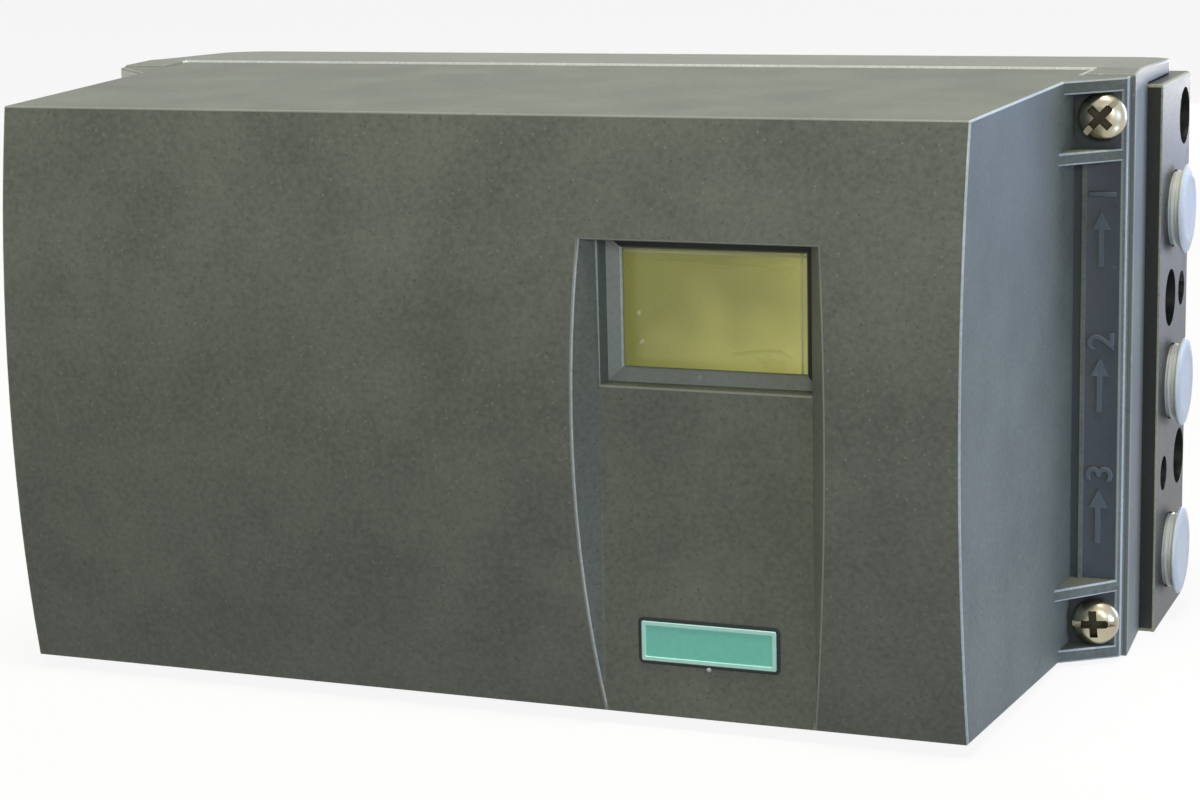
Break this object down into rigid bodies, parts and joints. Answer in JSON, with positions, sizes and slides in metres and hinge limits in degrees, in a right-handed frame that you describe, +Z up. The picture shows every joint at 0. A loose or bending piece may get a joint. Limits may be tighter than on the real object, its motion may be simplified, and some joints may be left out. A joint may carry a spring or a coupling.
{
  "type": "valve positioner",
  "caption": "Valve positioner: deep moulded cover with a sunk display window, side connection block with plugged air ports, cable gland and a geared feedback shaft out of the rear.",
  "frame": {"origin": "on the feedback shaft's axis, in the plane of the rear mounting face", "axes": "+X to the right seen from the front, towards the connection block; +Y out of the rear, along the shaft; +Z up"},
  "size_m": [0.2094, 0.1206, 0.097],
  "materials": {
    "cover_plastic": "fine grained, moulded",
    "housing_plastic": "fine grained, moulded",
    "block_metal": "dark, lightly textured",
    "manifold_metal": "dark, satin",
    "plug_plastic": "translucent, moulded",
    "sintered_bronze": "porous",
    "brass": "turned",
    "steel": "bright, plated",
    "aluminium": "stamped",
    "rubber": "soft, black",
    "window_plastic": "clear, bonded",
    "display_film": "olive, with a protective film",
    "board": "green, lacquered",
    "grey_plastic": "moulded",
    "black_plastic": "moulded",
    "gear_plastic": "moulded",
    "yellow_plastic": "moulded",
    "green_plastic": "moulded"
  },
  "bodies": {
    "housing": {"base_housing": "housing_plastic", "mounting_inserts": "brass", "pneumatic_block": "block_metal", "block_screws": "steel", "exhaust_silencer": "sintered_bronze", "valve_manifold": "manifold_metal", "manifold_screws": "steel", "pilot_valve_upper": "black_plastic", "pilot_valve_lower": "black_plastic", "shaft_bush": "sintered_bronze", "shaft_seal": "rubber", "gear_bridge": "aluminium", "bridge_screws": "steel", "potentiometer": "black_plastic", "electronics_carrier": "grey_plastic", "carrier_screws": "steel", "main_board": "board", "board_screws": "steel", "module_cover": "grey_plastic", "module_screws": "steel", "display_board": "board", "display_frame": "black_plastic", "display_glass": "display_film", "terminal_block_upper": "green_plastic", "terminal_block_lower": "green_plastic", "gland_body": "black_plastic", "gland_seal": "rubber", "gland_nut": "black_plastic", "blanking_plug": "black_plastic", "blanking_seal": "rubber", "earth_clamp": "steel", "earth_screw": "steel"},
    "cover": {"front_cover": "cover_plastic", "cover_gasket": "rubber", "cover_screws": "steel", "window_pane": "window_plastic"},
    "shaft": {"feedback_shaft": "steel", "drive_gear": "gear_plastic", "clutch_spring": "steel", "adjusting_wheel": "yellow_plastic", "shaft_clip": "steel"},
    "pot_spindle": {"pot_gear": "gear_plastic"},
    "left_key": {"button_left": "yellow_plastic"},
    "middle_key": {"button_middle": "yellow_plastic"},
    "right_key": {"button_right": "yellow_plastic"},
    "upper_restrictor": {"restrictor_upper": "brass"},
    "lower_restrictor": {"restrictor_lower": "brass"},
    "selector": {"purge_selector": "gear_plastic"},
    "upper_plug": {"port_plug_upper": "plug_plastic"},
    "middle_plug": {"port_plug_middle": "plug_plastic"},
    "lower_plug": {"port_plug_lower": "plug_plastic"}
  },
  "joints": [
    {"name": "cover_lift", "type": "slide", "parent": "housing", "child": "cover", "axis": [0, -1, 0], "range_m": [0, 0.1]},
    {"name": "shaft_turn", "type": "hinge", "parent": "housing", "child": "shaft", "pos_m": [0, 0, 0], "axis": [0, 1, 0], "range_deg": [-50, 50]},
    {"name": "pot_turn", "type": "hinge", "parent": "housing", "child": "pot_spindle", "pos_m": [-0.032, 0, 0], "axis": [0, 1, 0], "range_deg": [-170, 170]},
    {"name": "left_key_press", "type": "slide", "parent": "housing", "child": "left_key", "axis": [0, 1, 0], "range_m": [0, 0.0008], "stiffness_N_per_m": 1500},
    {"name": "middle_key_press", "type": "slide", "parent": "housing", "child": "middle_key", "axis": [0, 1, 0], "range_m": [0, 0.0008], "stiffness_N_per_m": 1500},
    {"name": "right_key_press", "type": "slide", "parent": "housing", "child": "right_key", "axis": [0, 1, 0], "range_m": [0, 0.0008], "stiffness_N_per_m": 1500},
    {"name": "upper_restrictor_turn", "type": "hinge", "parent": "housing", "child": "upper_restrictor", "pos_m": [0.0386, -0.077, 0.0345], "axis": [0, -1, 0], "range_deg": [-180, 180]},
    {"name": "lower_restrictor_turn", "type": "hinge", "parent": "housing", "child": "lower_restrictor", "pos_m": [0.0386, -0.077, -0.0345], "axis": [0, -1, 0], "range_deg": [-180, 180]},
    {"name": "selector_turn", "type": "hinge", "parent": "housing", "child": "selector", "pos_m": [0.0386, -0.077, 0], "axis": [0, -1, 0], "range_deg": [0, 90]},
    {"name": "upper_plug_pull", "type": "slide", "parent": "housing", "child": "upper_plug", "axis": [1, 0, 0], "range_m": [0, 0.03]},
    {"name": "middle_plug_pull", "type": "slide", "parent": "housing", "child": "middle_plug", "axis": [1, 0, 0], "range_m": [0, 0.03]},
    {"name": "lower_plug_pull", "type": "slide", "parent": "housing", "child": "lower_plug", "axis": [1, 0, 0], "range_m": [0, 0.03]}
  ],
  "couplings": [
    {"joint": "pot_turn", "follows": "shaft_turn", "ratio": -3}
  ]
}
